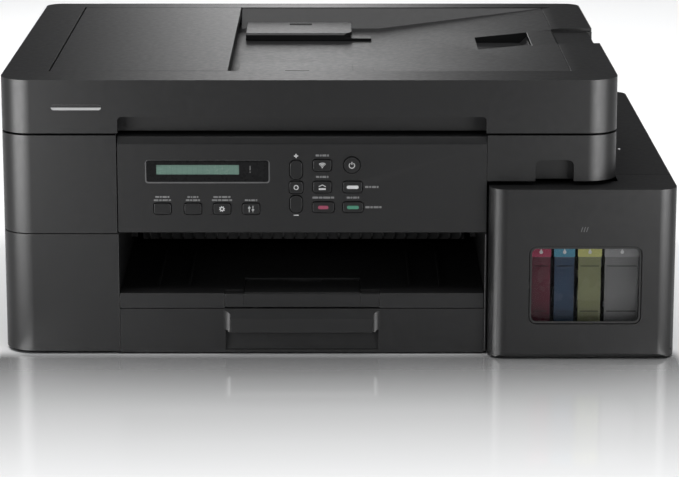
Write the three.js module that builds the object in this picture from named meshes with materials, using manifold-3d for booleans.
// An all-in-one inkjet printer with refillable ink tanks: body shells, control panel, paper cassette,
// flatbed scanner, document feeder and tank compartment. Millimetres, +Z up, front facing -Y,
// origin at the middle of the footprint on the surface that the printer stands on.
import * as THREE from 'three';
import { mergeVertices } from 'three/addons/utils/BufferGeometryUtils.js';
import Module from 'manifold-3d';

// ---- Driving dimensions ------------------------------------------------------------------------
const WIDTH = 435;
const DEPTH = 359;
const HEIGHT = 180.5;
const GAP = 0.3;               // clearance between fixed pieces that touch
const WALL = 3;                // thickness of the outer shells

const RIGHT = WIDTH / 2;       // outer face of the tank compartment
const LEFT = -WIDTH / 2 + 0.5; // left wall of the body, inside its nub
const REAR = DEPTH / 2;
const TANK_FRONT = -DEPTH / 2;
const FRONT = -166;            // front plane of body, panel and lid
const BODY_RIGHT = 180;        // right side of lid and upper shell
const CORNER = 20;             // radius of the upright front corners
const REAR_CORNER = 12;

const BASE_BOTTOM = 1.8;
const BASE_TOP = 80;
const DECK = 144.6;            // top of the upper shell
const BAY_LEFT = -141.5;       // cassette and panel lie between these two
const BAY_RIGHT = 94.8;
const BAY_REAR = 148.5;
const BAY_MIDDLE = -23.25;     // middle of everything that the paper passes
const PANEL_LEFT = -141.5;
const PANEL_RIGHT = 95.5;
const PANEL_BOTTOM = 80.8;
const PANEL_TOP = 144.2;
const PANEL_SEAM = 0.7;        // open seam at the panel's left end

const TANK_LEFT = 97;
const TANK_TOP = 112;
const TANK_SPLIT = -131.3;     // where the tank cover ends and the fixed housing starts
const TANK_CORNER = 12;        // radius of the tank cover's upright corners
const BLOCK_BOTTOM = 114.8;    // underside of the upper shell above the tanks

const LID_BOTTOM = 146;
const LID_REAR = 170;
const LID_FLOOR = 164.8;       // underside of the feeder tray
const TRAY_FLOOR = 167.7;      // feeder tray, lowest part
const TRAY_FRONT = -131;
const TRAY_REAR = 150;
const TRAY_REAR_FOOT = 129;    // where the feeder tray's sloping rear wall meets its floor
const GLASS_TOP = 161.9;
const FRAME_TOP = 162;

// ---- Finishes ----------------------------------------------------------------------------------
const FINISHES = {
  shell: [0x2b2b2c, 0.55, 0],
  panel: [0x242425, 0.5, 0],
  inner: [0x161617, 0.7, 0],
  key: [0x1b1b1c, 0.45, 0],
  smoke: [0x1a1c1f, 0.12, 0],
  glass: [0x9fb0b4, 0.05, 0],
  steel: [0x9a9da0, 0.3, 0.9],
  rubber: [0x202020, 0.9, 0],
  board: [0x1f4d33, 0.6, 0],
  foam: [0xe4e4e0, 0.9, 0],
  cap: [0x303032, 0.6, 0],
  magenta: [0x8d1b3d, 0.35, 0],
  cyan: [0x1e5f9e, 0.35, 0],
  yellow: [0x9a8a1c, 0.35, 0],
  black: [0x3c3c3e, 0.35, 0],
};

const wasm = await Module();
wasm.setup();
const printer = new THREE.Group();

// ---- Shape helpers -----------------------------------------------------------------------------
// A closed three.js geometry as a solid that can be joined and cut.
function solid(geometry) {
  const loose = geometry.index ? geometry.toNonIndexed() : geometry;
  const bare = new THREE.BufferGeometry();
  bare.setAttribute('position', loose.getAttribute('position'));
  const merged = mergeVertices(bare, 1e-4);
  const mesh = new wasm.Mesh({
    numProp: 3,
    vertProperties: merged.attributes.position.array,
    triVerts: new Uint32Array(merged.index.array),
  });
  return new wasm.Manifold(mesh);
}

// A block between two values on each axis.
function block([x0, x1], [y0, y1], [z0, z1]) {
  const geometry = new THREE.BoxGeometry(x1 - x0, y1 - y0, z1 - z0);
  geometry.translate((x0 + x1) / 2, (y0 + y1) / 2, (z0 + z1) / 2);
  return solid(geometry);
}

// The points of a polygon [u, v, radius], with an arc of `steps` chords at each corner that has a radius.
function outline(corners, steps = 6) {
  const points = [];
  corners.forEach(([u, v, radius = 0], i) => {
    const here = new THREE.Vector2(u, v);
    if (!radius) {
      points.push(here);
      return;
    }
    const before = corners[(i + corners.length - 1) % corners.length];
    const after = corners[(i + 1) % corners.length];
    const back = new THREE.Vector2(before[0], before[1]).sub(here).normalize();
    const ahead = new THREE.Vector2(after[0], after[1]).sub(here).normalize();
    const half = Math.acos(back.dot(ahead)) / 2;
    const centre = back.clone().add(ahead).setLength(radius / Math.sin(half)).add(here);
    const start = back.multiplyScalar(radius / Math.tan(half)).add(here).sub(centre);
    const end = ahead.multiplyScalar(radius / Math.tan(half)).add(here).sub(centre);
    const turn = Math.atan2(start.cross(end), start.dot(end));
    for (let k = 0; k <= steps; k++) {
      points.push(start.clone().rotateAround(new THREE.Vector2(), (turn * k) / steps).add(centre));
    }
  });
  return points;
}

// An outline pushed along an axis. Its points are (y, z) along x, (x, z) along y and (x, y) along z.
function prism(axis, points, [low, high]) {
  const flat = points.map((p) => (p.isVector2 ? p : new THREE.Vector2(p[0], p[1])));
  const settings = { depth: high - low, bevelEnabled: false };
  const geometry = new THREE.ExtrudeGeometry(new THREE.Shape(flat), settings);
  const place = new THREE.Matrix4();
  if (axis === 'x') place.set(0, 0, 1, low, 1, 0, 0, 0, 0, 1, 0, 0, 0, 0, 0, 1);
  if (axis === 'y') place.set(1, 0, 0, 0, 0, 0, -1, high, 0, 1, 0, 0, 0, 0, 0, 1);
  if (axis === 'z') place.makeTranslation(0, 0, low);
  return solid(geometry.applyMatrix4(place));
}

// The four corners of a rounded rectangle.
function rectangle([u0, u1], [v0, v1], radius, steps = 3) {
  return outline([[u0, v0, radius], [u1, v0, radius], [u1, v1, radius], [u0, v1, radius]], steps);
}

// A round bar along an axis; `at` gives its two other coordinates in x, y, z order.
function rod(axis, radius, [low, high], at, sides = 20) {
  const geometry = new THREE.CylinderGeometry(radius, radius, high - low, sides);
  const middle = (low + high) / 2;
  if (axis === 'x') geometry.rotateZ(Math.PI / 2).translate(middle, at[0], at[1]);
  if (axis === 'y') geometry.translate(at[0], middle, at[1]);
  if (axis === 'z') geometry.rotateX(Math.PI / 2).translate(at[0], at[1], middle);
  return solid(geometry);
}

function join(...solids) {
  return solids.reduce((whole, next) => whole.add(next));
}

function cut(whole, ...tools) {
  return tools.reduce((left, tool) => left.subtract(tool), whole);
}

// One named sub-part of the printer.
function piece(name, shape, finish) {
  const result = shape.getMesh();
  const geometry = new THREE.BufferGeometry();
  geometry.setAttribute('position', new THREE.BufferAttribute(result.vertProperties, 3));
  geometry.setIndex(new THREE.BufferAttribute(result.triVerts, 1));
  const faceted = geometry.toNonIndexed();
  faceted.computeVertexNormals();
  const [color, roughness, metalness] = FINISHES[finish];
  const mesh = new THREE.Mesh(faceted, new THREE.MeshStandardMaterial({ color, roughness, metalness }));
  mesh.name = name;
  printer.add(mesh);
}

// ---- Body shells -------------------------------------------------------------------------------
function baseHousing() {
  const right = BAY_RIGHT + 1.5;
  const plan = outline([
    [LEFT, FRONT, CORNER], [right, FRONT], [right, REAR], [LEFT, REAR, REAR_CORNER],
  ], 8);
  const bay = block([BAY_LEFT, BAY_RIGHT], [FRONT - 1, BAY_REAR], [BASE_BOTTOM + 2, BASE_TOP + 1]);
  const frontSill = block([BAY_LEFT, BAY_RIGHT], [FRONT - 1, FRONT + 6], [0, 10]);
  const leftHollow = block([LEFT + WALL, BAY_LEFT - WALL], [FRONT + 24, REAR - WALL - 10],
    [5, BASE_TOP + 1]);
  const rearHollow = block([BAY_LEFT + 22, BAY_RIGHT - 22], [BAY_REAR - 1, REAR + 1], [24, 72]);
  const ventSlots = [];
  for (let k = 0; k < 8; k++) {
    const y = 20 + k * 12;
    ventSlots.push(block([LEFT - 1, LEFT + WALL + 1], [y, y + 4], [18, 44]));
  }
  const shell = prism('z', plan, [BASE_BOTTOM, BASE_TOP]);
  return cut(shell, bay, frontSill, leftHollow, rearHollow, ...ventSlots);
}

function upperHousing() {
  const plan = outline([
    [LEFT, FRONT, CORNER], [BODY_RIGHT, FRONT, CORNER], [BODY_RIGHT, REAR, REAR_CORNER],
    [LEFT, REAR, REAR_CORNER],
  ], 8);
  const bottom = BASE_TOP + 0.5;
  const shell = prism('z', plan, [bottom, DECK]);
  const overTanks = block([PANEL_RIGHT + GAP, RIGHT], [FRONT - 1, REAR + 1], [0, BLOCK_BOTTOM]);
  const panelSeat = block([PANEL_LEFT - PANEL_SEAM, PANEL_RIGHT + GAP], [FRONT - 1, -139.7],
    [0, DECK + 1]);
  const interior = block([LEFT + WALL, BODY_RIGHT - WALL], [-136.5, REAR - WALL - 4], [0, DECK - WALL]);
  const frontLeft = block([LEFT + 10, PANEL_LEFT - WALL], [FRONT + WALL, -136], [0, DECK - WALL]);
  const frontRight = block([PANEL_RIGHT + WALL, BODY_RIGHT - 10], [FRONT + 12, -136], [0, DECK - WALL]);
  const topOpening = prism('z', rectangle([-196, 158], [-112, 104], 8), [DECK - 10, DECK + 1]);
  const fingerNotch = prism('y', outline([
    [126.6, BLOCK_BOTTOM - 1], [151.3, BLOCK_BOTTOM - 1], [151.3, 128.6, 4], [126.6, 128.6, 4],
  ], 3), [FRONT - 1, FRONT + 8]);
  const rearSlope = prism('x', [[171, DECK + 1], [REAR + 1, DECK + 1], [REAR + 1, DECK - 9]],
    [-250, 250]);
  const hingeSlots = HINGE_ARMS.map((x) => block([x - 10.5, x + 10.5], [156, 171],
    [DECK - 5.4, DECK + 1]));
  const vents = [];
  for (let k = 0; k < 9; k++) {
    const y = 30 + k * 12;
    vents.push(block([BODY_RIGHT - WALL - 1, BODY_RIGHT + 1], [y, y + 4], [120, 136]));
  }
  const nub = prism('x', rectangle([-142, -131], [104, 112], 2), [-WIDTH / 2, LEFT + 1]);
  const hollowed = cut(shell, overTanks, panelSeat, interior, frontLeft, frontRight, topOpening,
    fingerNotch);
  return join(cut(hollowed, rearSlope, ...hingeSlots, ...vents), nub);
}

function rearCover() {
  const body = prism('x', outline([
    [REAR - 6, 24.5], [REAR, 24.5, 1], [REAR, 71.5, 1], [REAR - 6, 71.5],
  ], 3), [BAY_LEFT + 22.5, BAY_RIGHT - 22.5]);
  const hollow = block([BAY_LEFT + 26, BAY_RIGHT - 26], [REAR - 7, REAR - 2.5], [28, 68]);
  const ribs = [];
  for (let x = -100; x <= 60; x += 20) ribs.push(block([x, x + 2], [REAR - 16, REAR - 2], [30, 62]));
  const grip = prism('y', rectangle([BAY_MIDDLE - 22, BAY_MIDDLE + 22], [60, 67], 3),
    [REAR - 1.2, REAR + 1]);
  return cut(join(cut(body, hollow), ...ribs), grip);
}

function foot(x, y) {
  const points = [[0, 0], [7.2, 0], [8, 0.6], [8, 1.5], [0, 1.5]];
  const profile = points.map(([r, z]) => new THREE.Vector2(r, z));
  const geometry = new THREE.LatheGeometry(profile, 16);
  return solid(geometry.rotateX(Math.PI / 2).translate(x, y, 0));
}

// ---- Control panel -----------------------------------------------------------------------------
const KEY_GAP = 0.5;
const KEY_PROUD = 0.9;
const KEYS = [
  { name: 'button_enlarge', x: -112.9, z: 96.7, w: 10.9, h: 7.2 },
  { name: 'button_quality', x: -93.3, z: 96.7, w: 10.9, h: 7.2 },
  { name: 'button_options', x: -74.6, z: 96.7, w: 10.9, h: 7.2 },
  { name: 'button_menu', x: -55.9, z: 96.7, w: 10.9, h: 7.2 },
  { name: 'button_up', x: -26.9, z: 122.3, w: 7.8, h: 12.2, r: 3.2 },
  { name: 'button_ok', x: -26.9, z: 110.8, w: 8.4, h: 7.8 },
  { name: 'button_down', x: -26.9, z: 99.8, w: 7.8, h: 11.2, r: 3.2 },
  { name: 'button_wireless', x: -10.1, z: 125.2, w: 11.6, h: 7.4 },
  { name: 'button_scan', x: -10.1, z: 111, w: 11.6, h: 7.4 },
  { name: 'button_stop', x: -9.5, z: 97.7, w: 13.6, h: 6.8 },
  { name: 'button_power', x: 8.9, z: 125.4, w: 10.4, h: 10.4, r: 5.19 },
  { name: 'button_mono_start', x: 9.4, z: 111, w: 12, h: 7.4 },
  { name: 'button_colour_start', x: 9.6, z: 97.7, w: 12.6, h: 6.8 },
];
const LCD = { x: [-123.1, -44.5], z: [114.2, 127.9] };

function keyOutline({ x, z, w, h, r = 1.4 }, grow) {
  const steps = r > 2 ? 5 : 2;
  return rectangle([x - w / 2 - grow, x + w / 2 + grow],
    [z - h / 2 - grow, z + h / 2 + grow], r + grow, steps);
}

function controlPanel() {
  const body = prism('x', outline([
    [FRONT, PANEL_BOTTOM, 1], [-140, PANEL_BOTTOM], [-140, PANEL_TOP], [FRONT + 3, PANEL_TOP, 3],
    [FRONT, PANEL_TOP - 5, 3],
  ], 3), [PANEL_LEFT, PANEL_RIGHT]);
  const hollow = block([PANEL_LEFT + WALL, PANEL_RIGHT - WALL], [FRONT + 3.2, -139],
    [PANEL_BOTTOM + 2.5, PANEL_TOP - 4]);
  const holes = KEYS.map((key) => prism('y', keyOutline(key, KEY_GAP), [FRONT - 1, FRONT + 5]));
  const seatPlan = rectangle([LCD.x[0] - GAP, LCD.x[1] + GAP], [LCD.z[0] - GAP, LCD.z[1] + GAP], 1.6);
  const screenSeat = prism('y', seatPlan, [FRONT - 1, FRONT + 5]);
  return cut(body, hollow, screenSeat, ...holes);
}

function lcdDisplay() {
  const bezel = prism('y', rectangle(LCD.x, LCD.z, 1.4), [FRONT + 0.4, FRONT + 7]);
  const screen = prism('y', rectangle([-116.7, -63.5], [118.9, 125.3], 0.5), [FRONT - 1, FRONT + 1]);
  const body = block([LCD.x[0] - 2, LCD.x[1] + 2], [FRONT + 5.5, FRONT + 11],
    [LCD.z[0] - 2, LCD.z[1] + 2]);
  return join(cut(bezel, screen), body);
}

function key(spec) {
  return prism('y', keyOutline(spec, 0), [FRONT - KEY_PROUD, FRONT + 6]);
}

// ---- Ink tank compartment ----------------------------------------------------------------------
const TANKS = [
  { name: 'magenta', x: [124.7, 136.9] },
  { name: 'cyan', x: [139.5, 152.3] },
  { name: 'yellow', x: [154.9, 169.6] },
  { name: 'black', x: [172, 194] },
];
const TANK_AXIS = { y: TANK_FRONT + 5, z: 5.8 };
const HINGE_LUGS = [108, 204]; // left sides of the lugs that carry the tank cover's pins
const SHELF_TOP = 19.7;
const INK_FRONT = -171;
const CAP_Y = -150;
const NECK_TOP = 88;

function tankHousing() {
  const front = TANK_SPLIT + 1.1;
  const plan = outline([
    [TANK_LEFT - GAP, front], [RIGHT, front], [RIGHT, REAR, REAR_CORNER], [TANK_LEFT - GAP, REAR],
  ], 8);
  const shell = prism('z', plan, [BASE_BOTTOM, TANK_TOP]);
  const inside = block([TANK_LEFT + 2.5, RIGHT - WALL], [front - 1, REAR - WALL - 2],
    [BASE_BOTTOM + WALL, TANK_TOP - WALL]);
  const socket = block([128, 158], [REAR - 9, REAR + 1], [14, 38]);
  const floor = block([101, 213.4], [-169, front + 1], [2.2, 5]);
  const shelf = block([121, 198], [-167, -50], [2.5, SHELF_TOP]);
  const arms = HINGE_LUGS.map((x) => cut(
    prism('x', outline([
      [-168, TANK_AXIS.z - 1.6], [-168, TANK_AXIS.z + 1.6],
      [TANK_AXIS.y - 1.6, TANK_AXIS.z + 1.6, 1.5], [TANK_AXIS.y - 1.6, TANK_AXIS.z - 1.6, 1.5],
    ], 4), [x, x + 2.5]),
    rod('x', 1.05, [x - 1, x + 4], [TANK_AXIS.y, TANK_AXIS.z], 12),
  ));
  return join(cut(shell, inside, socket), floor, shelf, ...arms);
}

function tankCover() {
  const plan = outline([
    [TANK_LEFT, TANK_FRONT, TANK_CORNER], [RIGHT, TANK_FRONT, TANK_CORNER], [RIGHT, TANK_SPLIT],
    [TANK_LEFT, TANK_SPLIT],
  ], 7);
  const shell = prism('z', plan, [1.2, TANK_TOP]);
  const inner = TANK_CORNER - WALL;
  const inside = prism('z', outline([
    [TANK_LEFT + WALL, TANK_FRONT + WALL, inner], [RIGHT - WALL, TANK_FRONT + WALL, inner],
    [RIGHT - WALL, TANK_SPLIT + 1], [TANK_LEFT + WALL, TANK_SPLIT + 1],
  ], 5), [-1, TANK_TOP - WALL]);
  const underBlock = block([TANK_LEFT - 1, BODY_RIGHT + 1], [-153, TANK_SPLIT + 1], [-1, TANK_TOP + 1]);
  const sideCut = block([RIGHT - WALL - 1, RIGHT + 1], [-132, TANK_SPLIT + 1], [-1, 90]);
  const window = prism('y', rectangle([122.7, 195.2], [23.3, 74.7], 5, 5),
    [TANK_FRONT - 1, TANK_FRONT + WALL + 1]);
  const lowerEdge = prism('x', [
    [TANK_FRONT - 1, 0], [TANK_FRONT + 2.5, 0], [TANK_FRONT + 2.5, 1.2], [TANK_FRONT, 3.7],
    [TANK_FRONT - 1, 3.7],
  ], [TANK_LEFT - 1, RIGHT + 1]);
  const pins = [
    rod('x', 0.75, [TANK_LEFT + 2, HINGE_LUGS[0] + 3], [TANK_AXIS.y, TANK_AXIS.z], 10),
    rod('x', 0.75, [HINGE_LUGS[1] - 0.5, RIGHT - 2], [TANK_AXIS.y, TANK_AXIS.z], 10),
  ];
  return join(cut(shell, inside, underBlock, sideCut, window, lowerEdge), ...pins);
}

function tankWindow() {
  const back = TANK_FRONT + WALL + GAP;
  const flange = prism('y', rectangle([119.5, 198.5], [20, 78], 6, 4), [back, back + 1.2]);
  const raised = prism('y', rectangle([123.1, 194.8], [23.7, 74.3], 4.6, 4),
    [TANK_FRONT + 1.6, back + 0.5]);
  return join(flange, raised);
}

function inkTank({ x: [left, right] }) {
  const profile = outline([
    [INK_FRONT, SHELF_TOP + GAP, 1.5], [-52, SHELF_TOP + GAP, 1.5], [-52, 84, 2], [INK_FRONT + 6, 84, 2],
    [INK_FRONT, 78, 2],
  ], 2);
  const neck = rod('z', 4.2, [80, NECK_TOP], [(left + right) / 2, CAP_Y], 14);
  return join(prism('x', profile, [left, right]), neck);
}

function tankCap({ x: [left, right] }) {
  const middle = (left + right) / 2;
  const outside = rod('z', 5.8, [85.2, 97], [middle, CAP_Y], 16);
  const inside = rod('z', 4.6, [80, NECK_TOP + 0.4], [middle, CAP_Y], 14);
  const cup = cut(outside, inside);
  const tab = prism('z', rectangle([middle - 3, middle + 3], [CAP_Y - 12, CAP_Y], 2, 2), [94.6, 97]);
  return join(cup, tab);
}

// ---- Print mechanism ---------------------------------------------------------------------------
const RAIL = { y: 0, z: 112, r: 4.5 };
const BELT = { y: 24, z: 108, r: 7, left: -202, right: 84 };
const CARRIAGE = [34, 92];
const EXIT = { y: -42, z: 66, r: 5 };
const FEED = { y: 34, z: 62, r: 8 };

function carriageRail() {
  return rod('x', RAIL.r, [LEFT + WALL + GAP, TANK_LEFT - 2 * GAP], [RAIL.y, RAIL.z], 16);
}

function carriageBelt() {
  const loop = (radius) => outline([
    [BELT.left - radius, BELT.z - radius, radius * 0.999],
    [BELT.right + radius, BELT.z - radius, radius * 0.999],
    [BELT.right + radius, BELT.z + radius, radius * 0.999],
    [BELT.left - radius, BELT.z + radius, radius * 0.999],
  ], 5);
  return cut(
    prism('y', loop(BELT.r), [BELT.y, BELT.y + 5]),
    prism('y', loop(BELT.r - 1.2), [BELT.y - 1, BELT.y + 6]),
  );
}

function printCarriage() {
  const body = prism('x', outline([
    [-44, 82, 2], [16, 82, 2], [16, 126, 4], [-30, 130, 5], [-44, 118, 4],
  ], 3), CARRIAGE);
  const [left, right] = CARRIAGE;
  const bearing = rod('x', RAIL.r + 0.4, [left - 9, right + 9], [RAIL.y, RAIL.z], 16);
  const headSlot = block([left + 6, right - 6], [-36, -8], [118, 140]);
  const beltClamp = block([left + 24, left + 34], [15, BELT.y + 4.5],
    [BELT.z - BELT.r + 1.7, BELT.z - 1]);
  return join(cut(body, bearing, headSlot), beltClamp);
}

function roller(spec, [left, right], bands) {
  const shaft = rod('x', 2.4, [left - 9.5, right + 8], [spec.y, spec.z], 12);
  const core = rod('x', spec.r - 1.5, [left, right], [spec.y, spec.z], 14);
  const tyres = bands.map(([a, b]) => rod('x', spec.r, [a, b], [spec.y, spec.z], 18));
  const flat = block([right, right + 6], [spec.y + 1.5, spec.y + 5], [spec.z - 4, spec.z + 4]);
  return cut(join(shaft, core, ...tyres), flat);
}

function rollerBands() {
  const bands = [];
  for (let k = 0; k < 6; k++) bands.push([-122 + k * 36, -104 + k * 36]);
  return bands;
}

function platen() {
  const left = BAY_LEFT + GAP;
  const right = BAY_RIGHT - GAP;
  const bed = block([left, right], [-32, 22], [70, 75]);
  const trough = block([-120, 74], [-16, 8], [72, 76]);
  const bracket = (x0) => cut(
    block([x0, x0 + 4], [-52, 48], [52, 75]),
    rod('x', 2.8, [x0 - 1, x0 + 5], [EXIT.y, EXIT.z], 12),
    rod('x', 2.8, [x0 - 1, x0 + 5], [FEED.y, FEED.z], 12),
  );
  const ribs = [];
  for (let x = -112; x <= 68; x += 20) ribs.push(block([x, x + 1.5], [-32, 22], [75, 76.4]));
  return join(cut(bed, trough), bracket(left), bracket(right - 4), ...ribs);
}

function mainBoard() {
  const plate = block([-206, -150], [-60, 120], [10, 11.6]);
  const chips = [
    block([-196, -176], [-30, -10], [11.5, 14]),
    block([-172, -160], [20, 44], [11.5, 13.5]),
    block([-200, -186], [60, 84], [11.5, 22]),
    block([-180, -156], [96, 112], [11.5, 20]),
  ];
  return join(plate, ...chips);
}

function powerSupply() {
  const box = block([112, 200], [40, 150], [6, 46]);
  const grooves = [];
  for (let k = 0; k < 6; k++) grooves.push(block([122 + k * 12, 127 + k * 12], [54, 120], [45, 47]));
  return cut(box, ...grooves);
}

function powerInlet() {
  const body = prism('y', rectangle([128.4, 157.6], [14.4, 37.6], 2), [REAR - 12, REAR - 1]);
  const mouth = prism('y', outline([[134, 19, 3], [152, 19, 3], [152, 33, 3], [134, 33, 3]], 3),
    [REAR - 9, REAR + 1]);
  const blades = [139.5, 146.5].map((x) => rod('y', 1.2, [REAR - 10, REAR - 2], [x, 26], 8));
  return join(cut(body, mouth), ...blades);
}

// ---- Paper cassette and output tray ------------------------------------------------------------
const CASSETTE = { left: -140.5, right: 94, rear: 147.6, floor: 4.1, height: 29.5 };

// The cassette's handle: how far it stands proud, and the radius its ends sweep back in.
const HANDLE = { left: -74.2, right: 27.5, proud: 3.4, cove: 5 };

// The handle seen from above: its ends sweep back to the cassette's front in a hollow curve.
function handlePlan() {
  const { left, right, proud, cove } = HANDLE;
  const end = [];
  for (let degrees = 0; degrees <= 90; degrees += 15) {
    const a = THREE.MathUtils.degToRad(degrees);
    end.push([cove * Math.sin(a), FRONT - 0.4 - (proud - 0.4) * (1 - Math.cos(a))]);
  }
  const leftEnd = end.map(([inward, y]) => [left + inward, y]);
  const rightEnd = [...end].reverse().map(([inward, y]) => [right - inward, y]);
  return prism('z', [[right, FRONT + 4], [left, FRONT + 4], ...leftEnd, ...rightEnd], [0, 40]);
}

function paperTray() {
  const { left, right, rear, floor, height } = CASSETTE;
  const bin = block([left, right], [FRONT + 4, rear], [floor, height]);
  const inside = block([left + 2.5, right - 2.5], [FRONT + 12, rear - 2.2], [floor + 2, height + 1]);
  const face = block([BAY_LEFT + 0.2, BAY_RIGHT - 0.2], [FRONT, FRONT + 5.5], [1.2, 30.3]);
  const lip = prism('x', outline([
    [FRONT + 1, 30.2], [FRONT, 29.8], [FRONT - HANDLE.proud, 24.4, 1], [FRONT - HANDLE.proud, 15, 0.8],
    [FRONT - 1, 15, 0.5], [FRONT + 0.5, 18], [FRONT + 2, 19.5],
  ], 3), [HANDLE.left, HANDLE.right]).intersect(handlePlan());
  const recess = prism('x', outline([
    [FRONT - 1, 3], [FRONT - 1, 16], [FRONT + 2, 18], [FRONT + 5, 16, 1.5], [FRONT + 1.4, 3],
  ], 3), [HANDLE.left + 1.2, HANDLE.right - 1.2]);
  const slots = [-130, -90, 36, 76].map((x) => block([x, x + 4], [FRONT + 40, rear - 40],
    [floor - 1, floor + 0.8]));
  return cut(join(bin, face, lip), inside, recess, ...slots);
}

function sideGuide(side) {
  const inner = BAY_MIDDLE + side * 105.6;
  const span = (a, b) => [Math.min(a, b), Math.max(a, b)];
  const wall = block(span(inner, inner + side * 2), [-60, 60], [CASSETTE.floor + 2.4, 25]);
  const foot = block(span(inner - side * 24, inner + side * 2), [-12, 12],
    [CASSETTE.floor + 2.4, CASSETTE.floor + 3.8]);
  const grip = block(span(inner, inner + side * 8), [-14, 14], [CASSETTE.floor + 2.4, 22]);
  return join(wall, foot, grip);
}

function lengthGuide() {
  const wall = block([BAY_MIDDLE - 36, BAY_MIDDLE + 36], [143, 145], [CASSETTE.floor + 2.4, 24]);
  const foot = block([BAY_MIDDLE - 14, BAY_MIDDLE + 14], [116, 145],
    [CASSETTE.floor + 2.4, CASSETTE.floor + 3.8]);
  return join(wall, foot);
}

const SUPPORT = { left: -73.2, right: 26.7 };
const FLAP = { left: -61, right: 14.5, front: FRONT + 4, length: 34, z: 39.1 };

function outputTray() {
  const left = BAY_LEFT + 0.4;
  const right = BAY_RIGHT - 0.4;
  const deck = prism('x', [
    [FRONT, 30.7], [FRONT + 6, 30.7], [FRONT + 8, 31.5], [-36, 31.5], [-36, 44], [-58, 44],
    [FRONT + 30, 40.7],
    [FRONT, 40.7],
  ], [left, right]);
  const supportBay = block([SUPPORT.left - GAP, SUPPORT.right + GAP], [FRONT - 1, -54], [30, 37.6]);
  const frontBay = block([SUPPORT.left - GAP, SUPPORT.right + GAP], [FRONT - 1, FRONT + 9], [30, 42]);
  const flapBay = block([FLAP.left - GAP, FLAP.right + GAP],
    [FRONT - 1, FLAP.front + FLAP.length + 2], [30, 42]);
  const ribs = [-118, -98, 46, 66].map((x) => prism('x', [
    [FRONT + 16, 40], [-60, 43], [-60, 44.4], [FRONT + 24, 42], [FRONT + 18, 41.2],
  ], [x, x + 1.6]));
  return join(cut(deck, supportBay, frontBay, flapBay), ...ribs);
}

function paperSupport() {
  const plate = block([SUPPORT.left, SUPPORT.right], [FRONT + 2, -56], [31.2, 37.2]);
  const front = prism('x', outline([
    [FRONT, 31, 1], [FRONT + 8.5, 31], [FRONT + 8.5, 40.4], [FRONT, 40.4, 1],
  ], 2), [SUPPORT.left, SUPPORT.right]);
  const flapSeat = block([FLAP.left - GAP, FLAP.right + GAP],
    [FLAP.front - 3, FLAP.front + FLAP.length + 3], [37.2, 42]);
  const groove = block([BAY_MIDDLE - 30, BAY_MIDDLE + 30], [-110, -70], [36, 38]);
  const seams = [FLAP.left - GAP, FLAP.right].map((x) => block([x, x + GAP],
    [FRONT - 1, FRONT + 0.8], [32.5, 42]));
  return cut(join(plate, front), flapSeat, groove, ...seams);
}

function supportFlap() {
  const { left, right, front, length, z } = FLAP;
  const flap = prism('x', outline([
    [front - 1.3, z - 1.3, 1.25], [front + length, z - 1.3], [front + length, z + 1.3, 1],
    [front - 1.3, z + 1.3, 1.25],
  ], 4), [left, right]);
  const notchPlan = rectangle([BAY_MIDDLE - 12, BAY_MIDDLE + 12],
    [front + length - 5, front + length + 6], 3);
  const notch = prism('z', notchPlan, [30, 45]);
  return cut(flap, notch);
}

// ---- Flatbed scanner ---------------------------------------------------------------------------
const HINGE_ARMS = [-160, 130];
const SCAN_AXIS = { y: 166, z: 146 };
const LID_AXIS = { y: 164, z: 152 };

function scannerFrame() {
  const bottom = 145.5;
  const plan = outline([[-211, -154, 16], [175, -154, 16], [175, 154, 8], [-211, 154, 8]], 5);
  const shell = prism('z', plan, [bottom, FRAME_TOP]);
  const cavity = block([-192, 164], [-118, 118], [bottom + 2, 157.9]);
  const glassView = block([-150, 147], [-108, 108], [157, FRAME_TOP + 1]);
  const glassSeat = block([-154, 151], [-112, 112], [159.7, FRAME_TOP + 1]);
  const stripView = block([-180, -164], [-108, 108], [157, FRAME_TOP + 1]);
  const stripSeat = block([-182, -162], [-110, 110], [159.7, FRAME_TOP + 1]);
  const arms = HINGE_ARMS.map((x) => prism('x', outline([
    [150, 146.5], [152, 145.6], [SCAN_AXIS.y + 3, 143, 1.8], [SCAN_AXIS.y + 3, 148, 2], [150, 148],
  ], 4), [x - 10, x + 10]));
  const lugs = HINGE_ARMS.flatMap((x) => [x - 10, x + 6].map((start) => prism('x', outline([
    [150, 148], [LID_AXIS.y, 147.2, 0], [LID_AXIS.y + 3.6, LID_AXIS.z, 2],
    [LID_AXIS.y, LID_AXIS.z + 3.8, 2], [150, 155],
  ], 4), [start, start + 4])));
  return cut(join(shell, ...arms, ...lugs), cavity, glassView, glassSeat, stripView, stripSeat);
}

function scannerGlass() {
  return block([-154 + GAP, 151 - GAP], [-112 + GAP, 112 - GAP], [160, GLASS_TOP]);
}

function stripGlass() {
  return block([-182 + GAP, -162 - GAP], [-110 + GAP, 110 - GAP], [160, GLASS_TOP]);
}

function scanBar() {
  const bar = block([-180, -164], [-112, 112], [148.2, 157.4]);
  const lens = block([-174, -170], [-108, 108], [156, 158]);
  return cut(bar, lens);
}

// ---- Document lid and feeder -------------------------------------------------------------------
const FEED_COVER = { left: -187, right: -71.5, axis: { x: -185.4, z: 179 } };
const SLOPE_START = 30;        // the feeder tray's floor rises from here
const SLOPE_END = 158;         // to here, where it meets the lid's top
const STOPPER = { left: 133.4, right: 178.4, y: [-13.6, 45.6], axis: { x: 175.6, z: 176.7 } };
const FEED_ROLLER = { x: -96, z: 172.6, r: 4.2 };
const FEED_MIDDLE = 9.5;

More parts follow.
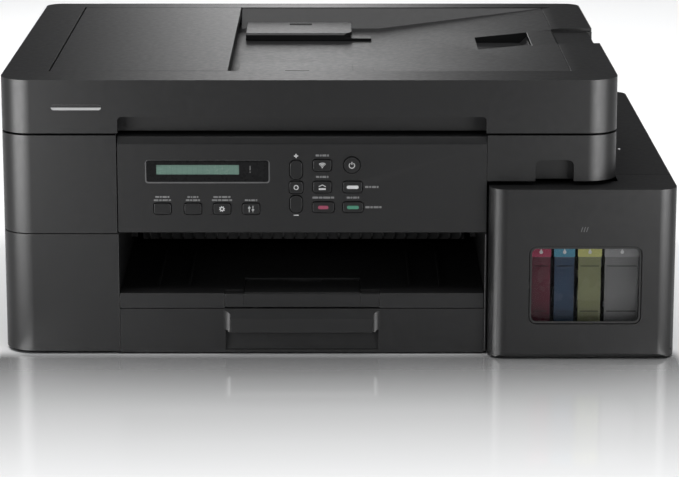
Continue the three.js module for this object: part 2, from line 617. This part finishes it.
function documentLid() {
  const plan = outline([
    [LEFT, FRONT, CORNER], [BODY_RIGHT, FRONT, CORNER], [BODY_RIGHT, LID_REAR, REAR_CORNER],
    [LEFT, LID_REAR, REAR_CORNER],
  ], 8);
  const shell = prism('z', plan, [LID_BOTTOM, HEIGHT]);
  const innerPlan = outline([
    [LEFT + WALL, FRONT + WALL, CORNER - WALL], [BODY_RIGHT - WALL, FRONT + WALL, CORNER - WALL],
    [BODY_RIGHT - WALL, LID_REAR - WALL, REAR_CORNER - WALL],
    [LEFT + WALL, LID_REAR - WALL, REAR_CORNER - WALL],
  ], 5);
  const underside = prism('z', innerPlan, [LID_BOTTOM - 1, LID_FLOOR]);
  const frontGap = prism('y', outline([
    [BAY_LEFT + 0.3, LID_BOTTOM - 1], [95, LID_BOTTOM - 1], [95, 156.6, 2.5],
    [BAY_LEFT + 0.3, 156.6, 2.5],
  ], 4), [FRONT - 1, FRONT + WALL + 1]);
  const rearGap = block([-250, 250], [154, LID_REAR + 1], [LID_BOTTOM - 1, 156]);
  const feederTray = prism('y', [
    [FEED_COVER.left - 0.8, TRAY_FLOOR], [SLOPE_START, TRAY_FLOOR], [SLOPE_END, HEIGHT],
    [SLOPE_END, HEIGHT + 5],
    [FEED_COVER.left - 0.8, HEIGHT + 5],
  ], [TRAY_FRONT, TRAY_REAR]);
  const rearWall = prism('x', [
    [TRAY_REAR_FOOT, TRAY_FLOOR - 1], [TRAY_REAR, HEIGHT - 0.5], [TRAY_REAR, HEIGHT + 5],
    [TRAY_REAR + 5, HEIGHT + 5],
    [TRAY_REAR + 5, TRAY_FLOOR - 1],
  ], [FEED_COVER.right + 0.5, SLOPE_END + 5]);
  const well = prism('y', [[97, 170.5], [129, 170.5], [141, HEIGHT + 2], [97, HEIGHT + 2]], [-8, 46]);
  const stopperSeat = prism('y', [
    [133, HEIGHT + 2], [133, 175], [171, 175], [172, 173], [BODY_RIGHT + 1, 173],
    [BODY_RIGHT + 1, HEIGHT + 2],
  ], [STOPPER.y[0] - GAP, STOPPER.y[1] + GAP]);
  const channel = block([151, BODY_RIGHT + 1], [-17, 49], [178.2, HEIGHT + 1]);
  const seam = block([151, 151.7], [TRAY_FRONT, TRAY_REAR], [179.6, HEIGHT + 1]);
  const posts = [-52, 66].map((y) => cut(
    block([FEED_ROLLER.x - 5, FEED_ROLLER.x + 5], [y, y + 5], [TRAY_FLOOR - 1, FEED_ROLLER.z + 2.6]),
    block([FEED_ROLLER.x - 2.2, FEED_ROLLER.x + 2.2], [y - 1, y + 6], [FEED_ROLLER.z - 2.2, HEIGHT]),
  ));
  const knuckles = HINGE_ARMS.map((x) => join(
    rod('x', 3.6, [x - 5.4, x + 5.4], [LID_AXIS.y, LID_AXIS.z], 14),
    block([x - 5.4, x + 5.4], [LID_AXIS.y - 3.2, LID_AXIS.y + 3.2], [LID_AXIS.z, LID_FLOOR + 1]),
  ));
  const tray = cut(feederTray, rearWall);
  const whole = cut(shell, underside, frontGap, rearGap, tray, well, stopperSeat, channel, seam);
  return join(whole, ...posts, ...knuckles);
}

function documentPad() {
  return prism('z', rectangle([-156, 153], [-113, 113], 3, 2), [FRAME_TOP + 0.5, LID_FLOOR - GAP]);
}

function feedCover() {
  const { left, right } = FEED_COVER;
  const top = block([left, right], [TRAY_FRONT + GAP, TRAY_REAR - GAP], [178, HEIGHT]);
  const lip = prism('y', outline([[right - 6, 179], [right - 3, 174.6, 1], [right, 174.6, 1],
    [right, 179]], 2),
    [TRAY_FRONT + 6, TRAY_REAR - 6]);
  const ribs = [];
  for (let y = -100; y <= 120; y += 44) ribs.push(block([left + 16, right - 40], [y, y + 2],
    [175.5, 179]));
  return join(top, lip, ...ribs);
}

const FEED_GUIDE = { left: -66, right: 10 };   // the two side guides of the feeder tray

// The rear guide; the front one is its mirror image about the middle of the feeder.
function feedGuide(side) {
  const inner = 62.5;
  const across = (d) => FEED_MIDDLE + side * d;
  const base = TRAY_FLOOR + GAP;
  const hood = [
    [across(inner), base], [across(inner + 3), base], [across(inner + 3), 171.4],
    [across(inner + 52), 171.4],
    [across(inner + 52), 173.3], [across(inner + 1.5), 173.3], [across(inner), 172],
  ];
  const toe = [
    [across(inner), base], [across(inner + 14), base], [across(inner + 14), base + 1.6],
    [across(inner), base + 1.6],
  ];
  const points = (list) => (side > 0 ? list : [...list].reverse());
  const { left, right } = FEED_GUIDE;
  const end = outline([
    [left - 1, across(inner - 1)], [right, across(inner - 1), 10], [right, across(inner + 60)],
    [left - 1, across(inner + 60)],
  ], 6);
  const rounded = prism('x', points(hood), [left, right]).intersect(prism('z', end, [160, HEIGHT]));
  return join(rounded, prism('x', points(toe), [right - 12, right + 14]));
}

function documentStopper() {
  const { left, right, y } = STOPPER;
  return prism('y', outline([
    [left, 175.6], [168, 175.6], [170.8, 175.6], [right - 1.2, 175.4, 1], [right, 177.8, 1],
    [152.4, 177.9],
    [150.8, 179.6], [left, 178.2, 0.8],
  ], 3), y);
}

function feedRoller() {
  const { x, z, r } = FEED_ROLLER;
  const shaft = rod('y', 1.8, [-51, 70], [x, z], 12);
  const tyres = [[-12, 2], [17, 31]].map((span) => rod('y', r, span, [x, z], 18));
  const core = rod('y', 3, [-40, 58], [x, z], 12);
  return join(shaft, core, ...tyres);
}

// ---- Assembly ----------------------------------------------------------------------------------
piece('base_housing', baseHousing(), 'shell');
piece('upper_housing', upperHousing(), 'shell');
piece('rear_cover', rearCover(), 'shell');
[['front_left', -196, -146], ['front_right', 80, -146], ['rear_left', -196, 160],
['rear_right', 196, 160]]
  .forEach(([place, x, y]) => piece(`foot_${place}`, foot(x, y), 'rubber'));

piece('control_panel', controlPanel(), 'panel');
piece('lcd_display', lcdDisplay(), 'smoke');
KEYS.forEach((spec) => piece(spec.name, key(spec), 'key'));

piece('tank_housing', tankHousing(), 'shell');
piece('ink_tank_cover', tankCover(), 'shell');
piece('tank_window', tankWindow(), 'smoke');
TANKS.forEach((tank) => {
  piece(`ink_tank_${tank.name}`, inkTank(tank), tank.name);
  piece(`tank_cap_${tank.name}`, tankCap(tank), 'cap');
});

piece('platen', platen(), 'inner');
piece('feed_roller', roller(FEED, [-130, 84], rollerBands()), 'rubber');
piece('exit_roller', roller(EXIT, [-130, 84], rollerBands()), 'rubber');
piece('carriage_rail', carriageRail(), 'steel');
piece('carriage_belt', carriageBelt(), 'rubber');
piece('print_carriage', printCarriage(), 'inner');
piece('main_board', mainBoard(), 'board');
piece('power_supply', powerSupply(), 'inner');
piece('power_inlet', powerInlet(), 'inner');

piece('paper_tray', paperTray(), 'shell');
piece('paper_guide_left', sideGuide(-1), 'inner');
piece('paper_guide_right', sideGuide(1), 'inner');
piece('paper_length_guide', lengthGuide(), 'inner');
piece('output_tray', outputTray(), 'shell');
piece('paper_support', paperSupport(), 'shell');
piece('paper_support_flap', supportFlap(), 'shell');

piece('scanner_frame', scannerFrame(), 'inner');
piece('scanner_glass', scannerGlass(), 'glass');
piece('feeder_glass', stripGlass(), 'glass');
piece('scan_bar', scanBar(), 'inner');

piece('document_lid', documentLid(), 'shell');
piece('document_pad', documentPad(), 'foam');
piece('feeder_cover', feedCover(), 'shell');
piece('feeder_guide_rear', feedGuide(1), 'shell');
piece('feeder_guide_front', feedGuide(-1), 'shell');
piece('document_stopper', documentStopper(), 'shell');
piece('feeder_roller', feedRoller(), 'rubber');

export default printer;
